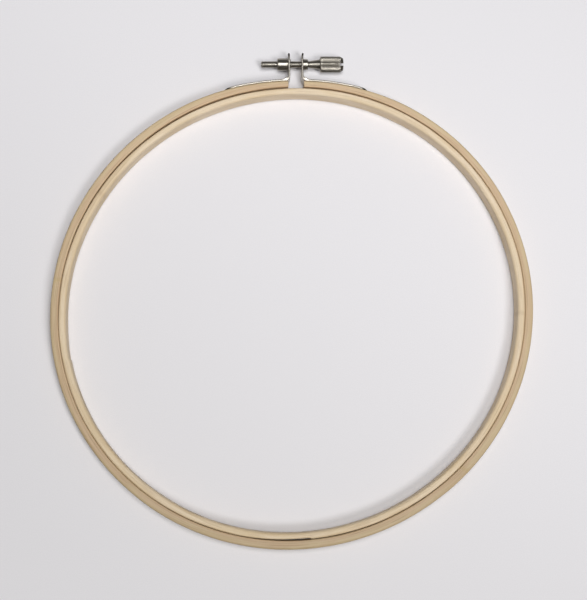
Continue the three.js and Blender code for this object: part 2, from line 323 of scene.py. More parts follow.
bundle_place = node(tree, "VectorMath", {0: place, 1: wandering}, operation="ADD").outputs[0]
parts = split_up(tree, bundle_place)
flat_place = node(tree, "CombineXYZ", {0: parts[1], 1: parts[2]}).outputs[0]
closer = reckon(tree, "DIVIDE", 1.0, given["Bundle Spacing"])
cells = node(tree, "TexVoronoi", {"Vector": flat_place, "Scale": closer, "Randomness": 0.9},
             voronoi_dimensions="2D")
broken = spread(tree, noise(tree, stretched(tree, place, 0.09, 1.7, 1.7), 2.0), 0.38, 0.6)
bundles = times(tree, spread(tree, cells.outputs["Distance"], 0.34, 0.1), broken)
along = split_up(tree, place)[0]
wobble = times(tree, noise(tree, stretched(tree, place, 0.0, 0.5, 0.5)), 2.4)
from_first = reckon(tree, "SUBTRACT", reckon(tree, "ADD", along, wobble), given["First Joint"])
half_spacing = reckon(tree, "DIVIDE", given["Joint Spacing"], 2.0)
to_joint = reckon(tree, "PINGPONG", from_first, half_spacing)
joints = spread(tree, to_joint, 1.7, 0.2)
sanding = noise(tree, stretched(tree, place, 2.6, 0.3, 0.3), 3.0, 0.7)
height = times(tree, fibres, 0.5)
height = reckon(tree, "ADD", height, times(tree, sanding, 0.25))
height = reckon(tree, "SUBTRACT", height, times(tree, bundles, 0.5))
height = reckon(tree, "ADD", height, times(tree, joints, 0.8))
for socket, made in zip(result, (tone, fibres, bundles, joints, sanding, height)):
    tree.links.new(made, socket)


def new_material(name):
    """A material with nothing in it but a Principled shader and the output."""
    material = bpy.data.materials.new(name)
    material.use_nodes = True
    return material, material.node_tree, material.node_tree.nodes["Principled BSDF"]


def strip_place(tree):
    """A point's place on the straight strip, in mm, as its mesh keeps it."""
    return node(tree, "Attribute", attribute_name="grain").outputs["Vector"]


def painted_shade_stretch(tree, place, colour, middle, darkest):
    """The colour with painted shade: it falls slowly to its darkest at a place along the strip,
    in mm, and rises again, standing in for the light falling off towards the hoop's near left.
    The darkest is a share of each channel."""
    along = split_up(tree, place)[0]
    turned = reckon(tree, "DIVIDE", reckon(tree, "SUBTRACT", along, middle), MEETING_RADIUS)
    share = reckon(tree, "MULTIPLY_ADD", reckon(tree, "COSINE", turned), 0.5, 0.5)
    return blend_colours(tree, share, colour, (*darkest, 1), "MULTIPLY")


def figured(tree, figure, colour, fullest, covers):
    """The colour with fibres, bundles, joints and pale sanding marks over it. covers gives how
    much of each shows and its colour, and fullest the fibre tone that shows the most."""
    (fibre, _), (bundle, _), (joint, _), (sanding, _) = covers
    shares = (spread(tree, figure["Fibres"], 0.45, fullest, 0.0, fibre),
              times(tree, figure["Bundles"], bundle),
              times(tree, figure["Joints"], joint),
              spread(tree, figure["Sanding"], 0.5, 0.75, 0.0, sanding))
    for share, (_, cover) in zip(shares, covers):
        colour = blend_colours(tree, share, colour, cover)
    return colour


def finish_bamboo(tree, shader, figure, colour, roughness):
    """Sets the wood's colour, and its roughness and relief from the figure."""
    tree.links.new(colour, shader.inputs["Base Color"])
    tree.links.new(spread(tree, figure["Fibres"], 0.3, 0.7, roughness - 0.08, roughness + 0.08),
                   shader.inputs["Roughness"])
    relief = {"Strength": 0.35, "Distance": 0.00006, "Height": figure["Height"]}
    tree.links.new(node(tree, "Bump", relief).outputs[0], shader.inputs["Normal"])


PALE_STRAW = srgb(236, 216, 187)
WARM_STRAW = srgb(226, 203, 168)
FIBRE_TAN = srgb(208, 181, 143)
BUNDLE_BROWN = srgb(158, 126, 88)
JOINT_BROWN = srgb(176, 142, 98)
SANDED_CREAM = srgb(250, 238, 214)
GLUE_BROWN = srgb(170, 138, 98)
GLUE_HALF = 0.09
# painted shade towards the hoop's near left: a share of each channel, and its place along the
# strip
INNER_PAINTED_SHADE = (0.77, 0.755, 0.7)
INNER_PAINTED_SHADE_AT = 585.0
INNER_ROUGHNESS = 0.55

inner_bamboo, tree, shader = new_material("pale bamboo")
place = strip_place(tree)
figure = place_group(tree, bamboo_figure, Place=place, Fibre_Width=0.18, Bundle_Spacing=0.7,
                     Joint_Spacing=262.0, First_Joint=150.0)
colour = blend_colours(tree, spread(tree, figure["Tone"], 0.35, 0.65), PALE_STRAW, WARM_STRAW)
colour = figured(tree, figure, colour, 0.75, [
    (0.45, FIBRE_TAN), (0.3, BUNDLE_BROWN), (0.2, JOINT_BROWN), (0.16, SANDED_CREAM)])
# the scarf's glue line slants across the sanded edges, from the step to the inner face
along, across, _ = split_up(tree, place)
slant = times(tree, along, -INNER_THICKNESS / SCARF_LENGTH)
line = reckon(tree, "ADD", slant, INNER_THICKNESS)
off_line = reckon(tree, "ABSOLUTE", reckon(tree, "SUBTRACT", across, line))
glue = times(tree, spread(tree, off_line, GLUE_HALF, 0.02, 0.0, 0.4),
              reckon(tree, "LESS_THAN", along, SCARF_LENGTH))
colour = blend_colours(tree, glue, colour, GLUE_BROWN)
# painted shade: the inner hoop is painted darker towards its near left, where the light falls off
colour = painted_shade_stretch(tree, place, colour, INNER_PAINTED_SHADE_AT, INNER_PAINTED_SHADE)
finish_bamboo(tree, shader, figure, colour, INNER_ROUGHNESS)
inner_hoop.data.materials.append(inner_bamboo)
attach(inner_hoop, "inner")
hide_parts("inner_hoop")


# Outer hoop
# A second, thicker strip, bent round the first and left open at the top. Its two ends are
# planed thinner, sawn square and kept apart, so that the screw can draw them together.

OUTER_THICKNESS = 3.6
OUTER_ROUNDS = (0.55, 1.1)
OUTER_UNEVEN = 0.1
THINNER_LONG_WAY = 0.25
END_TAPER = 0.75
TAPER_LENGTH = 48.0
GAP_WIDTH = 6.9
END_ROUND = 0.3
END_STRETCH = 0.006
END_SQUARING = 6.0

GAP_SLOPE = 2 * OUT_OF_ROUND * math.sin(math.pi - 2 * LONG_WAY) / MEETING_RADIUS
GAP_ANGLE = math.pi / 2 - math.atan(GAP_SLOPE)
CLAMP_X = meeting_radius(GAP_ANGLE) * math.cos(GAP_ANGLE)


def outer_inside(angle):
    return meeting_radius(angle) + HALF_PLAY


def outer_outside(angle):
    """The outer ring's outer face. It is thinner along the long way and near the split."""
    from_gap = np.abs(np.arctan2(np.sin(angle - GAP_ANGLE), np.cos(angle - GAP_ANGLE)))
    taper = END_TAPER * np.clip(1 - from_gap * meeting_radius(angle) / TAPER_LENGTH, 0, None)
    unevenness = THINNER_LONG_WAY * np.cos(2 * (angle - LONG_WAY))
    return outer_inside(angle) + OUTER_THICKNESS - unevenness - taper


def angle_at_x(face, x):
    """The direction in which a face of the ring crosses a distance x, in the upper half."""
    left, right = math.pi * 0.8, math.pi * 0.2
    for _ in range(50):
        middle = (left + right) / 2
        if face(middle) * math.cos(middle) < x:
            left = middle
        else:
            right = middle
    return (left + right) / 2


def outer_middle(angle):
    return (outer_inside(angle) + outer_outside(angle)) / 2


right_end = angle_at_x(outer_middle, CLAMP_X + GAP_WIDTH / 2)
left_end = angle_at_x(outer_middle, CLAMP_X - GAP_WIDTH / 2) - 2 * math.pi
rounding = np.radians([90, 60, 30, 0])
rounding_places = END_ROUND * (1 - np.sin(rounding)) / MEETING_RADIUS
outer_angles = np.concatenate([
    right_end - rounding_places,
    np.linspace(right_end - END_STRETCH, left_end + END_STRETCH, station_count),
    (left_end + rounding_places)[::-1],
])
end_shrink = END_ROUND * (1 - np.cos(rounding))
outer_shrink = np.concatenate([end_shrink, np.zeros(station_count), end_shrink[::-1]])
inner_face = meeting_radius(outer_angles) + gap_half(outer_angles)
inner_face = inner_face + hand_finish(outer_angles, MEETING_UNEVEN, 3.0)
outer_thickness = outer_outside(outer_angles) - inner_face
outer_thickness += hand_finish(outer_angles, OUTER_UNEVEN, 0.9)
# near its ends each point of the section is turned a little, so that the sawn face is flat
share, offset = strip_section(OUTER_ROUNDS)[:, :2].T
from_middle = (share - 0.5) * outer_thickness[:, None] + offset
outer_columns = np.repeat(outer_angles[:, None], section_size, 1)
for end in (right_end, left_end):
    nearness = np.clip(1 - np.abs(outer_angles - end) * MEETING_RADIUS / END_SQUARING, 0, 1)
    radius = outer_middle(outer_angles)[:, None] + from_middle
    level = radius[:, :1] * 0 + outer_middle(end) * math.cos(end)
    turned = np.arccos(level / radius) - np.arccos(level / (radius - from_middle))
    outer_columns += nearness[:, None] * turned
outer_hoop = bent_strip(
    "outer_hoop_bamboo",
    OUTER_ROUNDS,
    outer_columns,
    inner_face,
    outer_thickness,
    outer_shrink,
    closed=False,
)

TAN_BAMBOO = srgb(214, 191, 153)
ROSY_BAMBOO = srgb(212, 183, 148)
OUTER_FIBRE = srgb(190, 160, 122)
OUTER_BUNDLE = srgb(146, 116, 82)
YELLOW_JOINT = srgb(198, 172, 118)
SANDED_TAN = srgb(236, 216, 182)
# painted shade towards the hoop's near left: a share of each channel, and its place along the
# strip
OUTER_PAINTED_SHADE = (0.69, 0.68, 0.64)
OUTER_PAINTED_SHADE_AT = 330.0
OUTER_ROUGHNESS = 0.58

outer_bamboo, tree, shader = new_material("tan bamboo")
place = strip_place(tree)
figure = place_group(tree, bamboo_figure, Place=place, Fibre_Width=0.24,
                     Bundle_Spacing=0.6, Joint_Spacing=250.0, First_Joint=229.5)
# the strip's outer side, nearer the cane's skin, is yellower than the side towards the pith
across = split_up(tree, place)[1]
from_skin = reckon(tree, "ADD", figure["Tone"], spread(tree, across, 3.3, 0.6, -0.14, 0.14))
colour = blend_colours(tree, spread(tree, from_skin, 0.38, 0.62), TAN_BAMBOO, ROSY_BAMBOO)
colour = figured(tree, figure, colour, 0.72, [
    (0.55, OUTER_FIBRE), (0.4, OUTER_BUNDLE), (0.4, YELLOW_JOINT), (0.12, SANDED_TAN)])
# painted shade: the outer hoop is painted darker towards its near left, where the light falls off
colour = painted_shade_stretch(tree, place, colour, OUTER_PAINTED_SHADE_AT, OUTER_PAINTED_SHADE)
finish_bamboo(tree, shader, figure, colour, OUTER_ROUGHNESS)
outer_hoop.data.materials.append(outer_bamboo)


# Brackets
# Two strips of nickel-plated steel, each stamped with round ends and bent up into an ear. The
# plate lies along the wood's outer face, and the ear holds the screw or the nut.

PLATE_THICKNESS = 0.8
PLATE_WIDTH = 8.0
PLATE_REACH = 32.0
PLATE_SEAT = 0.03
ROLLED_EDGE = 0.36
SHEARED_EDGE = 0.24
BEND_RADIUS = 1.6
EAR_SPACING = 5.1
EAR_OUTSIDE = EAR_SPACING / 2 + PLATE_THICKNESS
EAR_HEIGHT = 13.8
EAR_LEAN = 0.6
SCREW_HEIGHT = 8.7
COLLAR_RADIUS = 2.4
PAINTED_SHADE_REACH = 2.7
PAINTED_SHADE_FADE = 0.9
SWELL_TURN = math.radians(48.6)
SWELL_REACH = 0.85 * BEND_RADIUS
BEND_SWELL = 2.0
BEND_RISE = 0.5
STRIP_STEP = 0.35
STRIP_ROWS = 7
MIDDLE_Z = HOOP_HEIGHT / 2
WOOD_TOP_Y = outer_outside(GAP_ANGLE) * math.sin(GAP_ANGLE)
CLAMP = np.array([CLAMP_X, WOOD_TOP_Y + SCREW_HEIGHT, MIDDLE_Z])
CLAMP[:2] += HOOP_CENTRE[:2]


def plate_middle(angle):
    return outer_outside(angle) + PLATE_SEAT + PLATE_THICKNESS / 2


def on_ring(face, angle):
    return np.array([face(angle) * math.cos(angle), face(angle) * math.sin(angle)])


def bracket_line(side):
    """The middle of the strip's thickness, from the plate's tip to the ear's tip, in mm."""
    ear_x = CLAMP_X + side * (EAR_SPACING + PLATE_THICKNESS) / 2
    bend = BEND_RADIUS + PLATE_THICKNESS / 2
    foot_angle = angle_at_x(plate_middle, ear_x + side * bend)
    foot, beyond = (on_ring(plate_middle, foot_angle - side * step) for step in (0, 0.02))
    slope = math.atan2(foot[1] - beyond[1], abs(foot[0] - beyond[0]))
    centre_x = ear_x + side * bend
    foot_x = centre_x - side * bend * math.sin(slope)
    foot_angle = angle_at_x(plate_middle, foot_x)
    centre_y = on_ring(plate_middle, foot_angle)[1] + bend * math.cos(slope)
    tip_angle = angle_at_x(plate_middle, CLAMP_X + side * PLATE_REACH)
    line = [on_ring(plate_middle, a) for a in np.linspace(tip_angle, foot_angle, 60)[:-1]]
    for turned in np.linspace(slope, math.pi / 2, 24):
        line.append([centre_x - side * bend * math.sin(turned),
                     centre_y - bend * math.cos(turned)])
    # the right ear is sprung outwards above the screw's collar
    lean_from = WOOD_TOP_Y + SCREW_HEIGHT + COLLAR_RADIUS
    for share in np.linspace(0, 1, 9):
        lean = EAR_LEAN * share ** 2 if side > 0 else 0
        line.append([ear_x + lean, lean_from + (WOOD_TOP_Y + EAR_HEIGHT - lean_from) * share])
    return np.array(line) + HOOP_CENTRE[:2]


def stamped_strip(name, line, outward):
    """A flat strip with half-round ends, bent along a line of points. Its outer face has a
    rolled edge from stamping, and its inner face a sharper one. outward is the side of the
    line that faces out, 1 for the left and -1 for the right."""
    steps = np.linalg.norm(np.diff(line, axis=0), axis=1)
    lengths = np.concatenate([[0], np.cumsum(steps)])
    length = lengths[-1]
    straight = np.arange(PLATE_WIDTH / 2, length - PLATE_WIDTH / 2, STRIP_STEP)[1:]
    turn = np.radians(np.linspace(0, 90, 11))
    flat, faces = [], []

    def add_points(stations, places, level):
        flat.extend((s, w, level) for s, w in zip(stations, places))
        return list(range(len(flat) - len(stations), len(flat)))

    def outline(half):
        """Where the strip's edge lies, drawn in from its full width to a half width."""
        ends = PLATE_WIDTH / 2 - half * np.cos(turn)
        stations = np.concatenate([ends, straight, length - ends[::-1]])
        rounded = half * np.sin(turn)
        return stations, np.concatenate([rounded, np.full(len(straight), half), rounded[::-1]])

    loops = []
    for face, edge in ((1, ROLLED_EDGE), (-1, SHEARED_EDGE)):
        stations, halves = outline(PLATE_WIDTH / 2 - edge)
        level = face * PLATE_THICKNESS / 2
        rows = [add_points([s] * STRIP_ROWS, np.linspace(-w, w, STRIP_ROWS), level) if w else
                add_points([s], [0], level) for s, w in zip(stations, halves)]
        for near, far in zip(rows, rows[1:]):
            for j in range(STRIP_ROWS - 1):
                a, b = (row[j:j + 2] if len(row) > 1 else row for row in (near, far))
                faces.append((a[::-1] + b)[::face])
        rim = [row[-1] for row in rows] + [row[0] for row in rows[-2:0:-1]]
        rolled = []
        for t in np.radians(np.linspace(0, 90, 6))[1:]:
            stations, halves = outline(PLATE_WIDTH / 2 - edge + edge * math.sin(t))
            level = face * (PLATE_THICKNESS / 2 - edge + edge * math.cos(t))
            rolled.append(add_points(np.concatenate([stations, stations[-2:0:-1]]),
                                     np.concatenate([halves, -halves[-2:0:-1]]), level))
        loops += [rim] + rolled if face > 0 else rolled[::-1] + [rim]
    for upper, lower in zip(loops, loops[1:]):
        for i in range(len(upper)):
            j = (i + 1) % len(upper)
            faces.append([upper[i], upper[j], lower[j], lower[i]])
    flat = np.array(flat)
    # the strip's edges are squeezed out, thicker and higher, in the hollow of the bend
    bend_place = length - (EAR_HEIGHT - BEND_RADIUS) - BEND_RADIUS * SWELL_TURN
    swell = np.exp(-((flat[:, 0] - bend_place) / SWELL_REACH) ** 2)
    swell *= (np.abs(flat[:, 1]) / (PLATE_WIDTH / 2)) ** 4 * (flat[:, 2] > 0)
    flat[:, 1] += np.sign(flat[:, 1]) * swell * BEND_RISE * flat[:, 2] / (PLATE_THICKNESS / 2)
    flat[:, 2] *= 1 + BEND_SWELL * swell
    tangents = np.gradient(line, lengths, axis=0)
    tangents /= np.linalg.norm(tangents, axis=1)[:, None]
    along, aside = (np.interp(flat[:, 0], lengths, tangents[:, axis]) for axis in (0, 1))
    points = np.stack([np.interp(flat[:, 0], lengths, line[:, 0]) - aside * outward * flat[:, 2],
                       np.interp(flat[:, 0], lengths, line[:, 1]) + along * outward * flat[:, 2],
                       MIDDLE_Z + flat[:, 1]], 1)
    mesh = mesh_from(name, points, faces)
    keep(mesh, "grain", flat)
    # both ends of the strip are marked for painted shade
    from_end = np.minimum(flat[:, 0], length - flat[:, 0])
    keep(mesh, "painted_shade", np.clip((PAINTED_SHADE_REACH - from_end) / PAINTED_SHADE_FADE, 0, 1))
    return add_piece(name, mesh)


def loft(rings, closed=False):
    """Points and faces that join rings of points. A ring may be one point, or have as many
    points as its neighbour, or a whole number of times as many."""
    starts = np.concatenate([[0], np.cumsum([len(ring) for ring in rings])])
    faces = []
    pairs = list(zip(range(len(rings)), range(1, len(rings))))
    if closed:
        pairs.append((len(rings) - 1, 0))
    for i, j in pairs:
        a, b = len(rings[i]), len(rings[j])
        few = max(min(a, b), 1) if min(a, b) > 1 else max(a, b)
        for k in range(few):
            lower = [starts[i] + (k * a // few + n) % a for n in range(a // few + 1)]
            upper = [starts[j] + (k * b // few + n) % b for n in range(b // few + 1)]
            lower = lower if a > 1 else [starts[i]]
            upper = upper if b > 1 else [starts[j]]
            faces.append(lower + upper[::-1])
    return np.vstack(rings), faces


def ring(along, radius, columns):
    """A ring of points about the X axis, or one point where the radius is nothing."""
    if radius == 0:
        return np.array([[along, 0.0, 0.0]])
    turn = np.arange(columns) * 2 * math.pi / columns
    return np.stack([np.full(columns, along), radius * np.cos(turn), radius * np.sin(turn)], 1)


def softened(profile, steps=3):
    """A profile of (along, radius, rounding) with an arc in place of each rounded corner."""
    points = []
    for i, (along, radius, rounding) in enumerate(profile):
        here = np.array([along, radius])
        if rounding == 0:
            points.append(here)
            continue
        before = np.array(profile[i - 1][:2]) - here
        after = np.array(profile[(i + 1) % len(profile)][:2]) - here
        start = here + before / np.linalg.norm(before) * rounding
        end = here + after / np.linalg.norm(after) * rounding
        for t in np.linspace(0, 1, steps + 1):
            points.append((1 - t) ** 2 * start + 2 * t * (1 - t) * here + t * t * end)
    return points


def turned_mesh(name, profile, columns, closed=False):
    """A turned form about the X axis, from a profile of (along, radius, rounding)."""
    rings = [ring(along, radius, columns) for along, radius in softened(profile)]
    return mesh_from(name, *loft(rings, closed))


def cut_away(piece, cutter):
    """Takes the cutter's form out of a piece, and throws the cutter away."""
    cut = piece.modifiers.new("cut", "BOOLEAN")
    cut.operation = "DIFFERENCE"
    cut.solver = "EXACT"
    cut.object = cutter
    bpy.context.view_layer.update()
    drawn = bpy.context.evaluated_depsgraph_get()
    mesh = bpy.data.meshes.new_from_object(
        piece.evaluated_get(drawn), preserve_all_data_layers=True, depsgraph=drawn)
    piece.modifiers.clear()
    piece.data = mesh
    bpy.data.objects.remove(cutter)


def rows_of(parts, label, width=3, kind=float):
    """What each of a mesh's parts, such as its points, holds under a label, one in a row."""
    values = np.empty(len(parts) * width, kind)
    parts.foreach_get(label, values)
    return values.reshape(-1, width)


def keep_relief(piece):
    """Stores how far each point stands out from its neighbours, as the attribute relief: over
    0 on an edge, under 0 in a groove."""
    mesh = piece.data
    places, normals = rows_of(mesh.vertices, "co"), rows_of(mesh.vertex_normals, "vector")
    first, second = rows_of(mesh.edges, "vertices", 2, int).T
    between = places[second] - places[first]
    lengths = np.linalg.norm(between, axis=1)
    pull, reach = np.zeros(places.shape), np.zeros(len(places))
    for ends, towards in ((first, between), (second, -between)):
        np.add.at(pull, ends, towards)
        np.add.at(reach, ends, lengths)
    keep(mesh, "relief", -np.einsum("ij,ij->i", pull, normals) / np.maximum(reach, 1e-9))


# Plated metal's surface, from a place in mm: fine lines from rolling or turning, dull patches
# where fingers have been, and small dark specks.
metal_surface, given, result = new_group(
    "metal surface",
    {"Place": (0.0, 0.0, 0.0), "Line Scale": (1.0, 1.0, 1.0), "Relief": 0.0},
    ["Lines", "Dullness", "Specks", "Worn Edge", "Grime"],
)
tree = metal_surface
place = given["Place"]
lines_place = node(tree, "VectorMath", {0: place, 1: given["Line Scale"]}, operation="MULTIPLY")
lines = noise(tree, lines_place.outputs[0], 3.0, 0.7)
dullness = noise(tree, stretched(tree, place, 0.35, 0.35, 0.35), 4.0, 0.6)
dullness = spread(tree, dullness, 0.35, 0.68)
specks = spread(tree, noise(tree, stretched(tree, place, 3.3, 3.3, 3.3), 2.0, 0.7), 0.66, 0.76)
worn = times(tree, spread(tree, given["Relief"], 0.04, 0.22),
              spread(tree, dullness, 0.0, 0.8, 0.5, 1.0))
grime = spread(tree, given["Relief"], -0.03, -0.2)
for socket, made in zip(result, (lines, dullness, specks, worn, grime)):
    tree.links.new(made, socket)


def relief_of(tree):
    return node(tree, "Attribute", attribute_name="relief").outputs["Fac"]


def finish_metal(tree, shader, surface, plain, worn, dirty, roughness):
    """Sets a plated metal's colour, roughness and relief from its surface."""
    colour = blend_colours(tree, surface["Worn Edge"], plain, worn)
    colour = blend_colours(tree, times(tree, surface["Grime"], 0.75), colour, dirty)
    colour = blend_colours(tree, times(tree, surface["Specks"], 0.5), colour, dirty)
    tree.links.new(colour, shader.inputs["Base Color"])
    dull = spread(tree, surface["Dullness"], 0.0, 1.0, roughness, roughness + 0.12)
    dull = reckon(tree, "ADD", dull, times(tree, surface["Grime"], 0.25))
    tree.links.new(dull, shader.inputs["Roughness"])
    shader.inputs["Metallic"].default_value = 1.0
    relief = {"Strength": 0.3, "Distance": LINE_DEPTH, "Height": surface["Lines"]}
    tree.links.new(node(tree, "Bump", relief).outputs[0], shader.inputs["Normal"])


def with_painted_shade(tree, surface, plain, dark):
    """The plain colour with painted shade over it, darker where the mesh's attribute marks it, in
    dull patches.
    """
    painted_shade = node(tree, "Attribute", attribute_name="painted_shade").outputs["Fac"]
    patches = spread(tree, surface["Dullness"], 0.0, 1.0, 0.88, 1.0)
    return blend_colours(tree, times(tree, painted_shade, patches), plain, dark)


STRIP_STEEL = srgb(186, 180, 170)
STRIP_PAINTED_SHADE = srgb(32, 28, 22)
STRIP_GRIME = srgb(64, 57, 44)
STRIP_ROUGHNESS = 0.32
LINE_DEPTH = 0.00002

bracket_steel, tree, shader = new_material("plated strip steel")
surface = place_group(tree, metal_surface, Place=strip_place(tree), Line_Scale=(0.25, 9.0, 9.0),
                      Relief=relief_of(tree))
# painted shade: both ends of the strip are painted dark; at the ear's tip it stands in for the
# dark reflections there, and the plate's tip is darker too
plain = with_painted_shade(tree, surface, STRIP_STEEL, STRIP_PAINTED_SHADE)
finish_metal(tree, shader, surface, plain, plain, STRIP_GRIME, STRIP_ROUGHNESS)

SPIGOT_DIAMETER = 4.1
THREAD_DIAMETER = 2.9
RIVET_PLACES = (12.5, 24.0)
RIVET_DIAMETER = 1.8
RIVET_PLAY = 0.05
CLINCH_DIAMETER = 3.0
CLINCH_HEIGHT = 0.5
HOLE_FLARE = 0.25


def set_on(piece_or_mesh, origin, direction):
    """Turns a mesh made along X to point in a direction, and puts its zero at an origin in mm."""
    turn = Vector((1, 0, 0)).rotation_difference(Vector(direction)).to_matrix().to_4x4()
    piece_or_mesh.transform(Matrix.Translation(Vector(origin) * MM) @ turn)


def rivet_seat(side, place):
    """A rivet's foot on the wood's inner face, its direction, and the wood's thickness there."""
    angle = angle_at_x(outer_outside, CLAMP_X + side * place)
    foot = on_ring(outer_inside, angle) + HOOP_CENTRE[:2]
    thickness = outer_outside(angle) - outer_inside(angle)
    return (*foot, MIDDLE_Z), (math.cos(angle), math.sin(angle), 0.0), thickness


def drill(piece, mesh, origin, direction):
    """Cuts a turned form out of a piece, pointing in a direction."""
    set_on(mesh, origin, direction)
    cut_away(piece, add_piece("cutter", mesh))


flare = PLATE_THICKNESS / 2 + 0.05
shank = RIVET_DIAMETER / 2 + RIVET_PLAY
clinch = CLINCH_DIAMETER / 2 + 0.1
for side, side_name in ((1, "right"), (-1, "left")):
    bracket = stamped_strip(f"bracket_{side_name}_plated", bracket_line(side), -side)
    hole = (SPIGOT_DIAMETER + 0.2 if side < 0 else THREAD_DIAMETER + 0.6) / 2
    mouth = hole + HOLE_FLARE
    ear_hole = turned_mesh("ear_hole", [
        (-1.5, 0, 0), (-1.5, mouth, 0), (-flare, mouth, 0), (-flare + 0.2, hole, 0),
        (flare - 0.2, hole, 0), (flare, mouth, 0), (1.5, mouth, 0), (1.5, 0, 0)], 48)
    ear_x = CLAMP[0] + side * (EAR_SPACING + PLATE_THICKNESS) / 2
    drill(bracket, ear_hole, (ear_x, CLAMP[1], CLAMP[2]), (1, 0, 0))
    for place in RIVET_PLACES:
        origin, direction, thickness = rivet_seat(side, place)
        drill(bracket, turned_mesh("rivet_hole", [
            (thickness - 1, 0, 0), (thickness - 1, shank, 0), (thickness + 2, shank, 0),
            (thickness + 2, 0, 0)], 32), origin, direction)
        drill(outer_hoop, turned_mesh("rivet_bore", [
            (-1, 0, 0), (-1, clinch + 0.1, 0), (0.1, clinch + 0.1, 0), (0.25, clinch, 0),
            (CLINCH_HEIGHT + 0.2, clinch, 0), (CLINCH_HEIGHT + 0.2, shank, 0),
            (thickness + 1, shank, 0), (thickness + 1, 0, 0)], 32), origin, direction)
    keep_relief(bracket)
    bracket.data.materials.append(bracket_steel)
    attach(bracket, "outer_" + side_name)
    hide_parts("bracket_" + side_name)

# The strip flexes along its whole length. Its placing is baked into its points.
seam_y = HOOP_CENTRE[1] - outer_middle(-math.pi / 2)
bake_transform(outer_hoop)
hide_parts("outer_hoop_right", "outer_hoop_left")


# Rivets
# Four tubular steel rivets, two through each plate. The head is domed outside, and the tube's
# end is rolled over into a recess in the wood's inner face, clear of the inner hoop.

RIVET_HEAD = 1.7
RIVET_HEAD_HEIGHT = 0.6

shank = RIVET_DIAMETER / 2
clinch = CLINCH_DIAMETER / 2
for side, side_name in ((1, "right"), (-1, "left")):
    for number, place in enumerate(RIVET_PLACES, 1):
        origin, direction, thickness = rivet_seat(side, place)
        seat = thickness + PLATE_SEAT + PLATE_THICKNESS + 0.02
        top = seat + RIVET_HEAD_HEIGHT
        mesh = turned_mesh("rivet", [
            (0.9, 0, 0), (0.9, shank - 0.4, 0.12), (0.35, shank - 0.35, 0.2),
            (0.12, shank + 0.1, 0.25), (0.12, clinch - 0.25, 0.15), (0.35, clinch, 0.15),
            (CLINCH_HEIGHT + 0.1, clinch - 0.05, 0.1), (CLINCH_HEIGHT + 0.1, shank, 0.05),
            (seat, shank, 0), (seat, RIVET_HEAD - 0.05, 0.04), (seat + 0.12, RIVET_HEAD, 0.08),
            (seat + 0.38, RIVET_HEAD * 0.82, 0.2), (top - 0.04, RIVET_HEAD * 0.45, 0.3),
            (top, 0, 0)], 40)
        set_on(mesh, origin, direction)
        rivet = add_piece(f"rivet_{side_name}_{number}_domed", mesh)
        keep(mesh, "grain", rows_of(mesh.vertices, "co") / MM)
        keep_relief(rivet)
        rivet.data.materials.append(bracket_steel)
        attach(rivet, "outer_" + side_name)
        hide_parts(f"rivet_{side_name}_{number}")


# Barrel nut
# A turned nut outside the left ear. A spigot goes through the ear and is spread inside it, so
# the nut can't turn. Its mouth is countersunk for the screw.

NUT_RADIUS = 2.7
NUT_FOOT = -EAR_OUTSIDE - 0.02
NUT_END = -EAR_OUTSIDE - 4.8
LIP_RADIUS = 2.45
LIP_FROM = -EAR_SPACING / 2 + 0.02
LIP_TO = LIP_FROM + 0.38
BORE_RADIUS = 1.66
MOUTH_RADIUS = 1.95

nut_mesh = turned_mesh("nut", [
    (NUT_END, MOUTH_RADIUS, 0.05), (NUT_END, NUT_RADIUS - 0.3, 0.06),
    (NUT_END + 0.3, NUT_RADIUS, 0.1), (NUT_FOOT, NUT_RADIUS, 0.1),
    (NUT_FOOT, SPIGOT_DIAMETER / 2, 0.05), (LIP_FROM, SPIGOT_DIAMETER / 2, 0.02),
    (LIP_FROM, LIP_RADIUS, 0.1), (LIP_TO, LIP_RADIUS - 0.2, 0.15),
    (LIP_TO, MOUTH_RADIUS - 0.1, 0.05), (LIP_TO - 0.25, BORE_RADIUS, 0.03),
    (NUT_END + 0.35, BORE_RADIUS, 0.03)], 72, closed=True)
set_on(nut_mesh, CLAMP, (1, 0, 0))
barrel_nut = add_piece("barrel_nut_turned", nut_mesh)
keep_relief(barrel_nut)

TURNED_STEEL = srgb(168, 163, 153)
WORN_STEEL = srgb(196, 191, 180)
CHAMFER_PAINTED_SHADE = srgb(88, 83, 72)
GROOVE_GRIME = srgb(46, 41, 31)
TURNED_ROUGHNESS = 0.38

screw_steel, tree, shader = new_material("plated turned steel")
place = stretched(tree, node(tree, "TexCoord").outputs["Object"], 1 / MM, 1 / MM, 1 / MM)
surface = place_group(tree, metal_surface, Place=place, Line_Scale=(12.0, 0.3, 0.3),
                      Relief=relief_of(tree))
# painted shade: the head's end chamfer is painted dark, standing in for the dark room that it
# reflects
plain = with_painted_shade(tree, surface, TURNED_STEEL, CHAMFER_PAINTED_SHADE)
finish_metal(tree, shader, surface, plain, WORN_STEEL, GROOVE_GRIME, TURNED_ROUGHNESS)
# the tool's fine grooves run round the piece and draw its highlights out along it
shader.inputs["Anisotropic"].default_value = 0.75
shader.inputs["Anisotropic Rotation"].default_value = 0.25
grooves = node(tree, "Tangent", direction_type="RADIAL", axis="X")
tree.links.new(grooves.outputs[0], shader.inputs["Tangent"])
barrel_nut.data.materials.append(screw_steel)
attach(barrel_nut, "outer_left")
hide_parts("barrel_nut")


# Thumbscrew
# Turned from one bar: an M3 thread, a collar that bears on the right ear, a tapered neck and a
# straight-knurled head with a screwdriver slot sawn across its end.

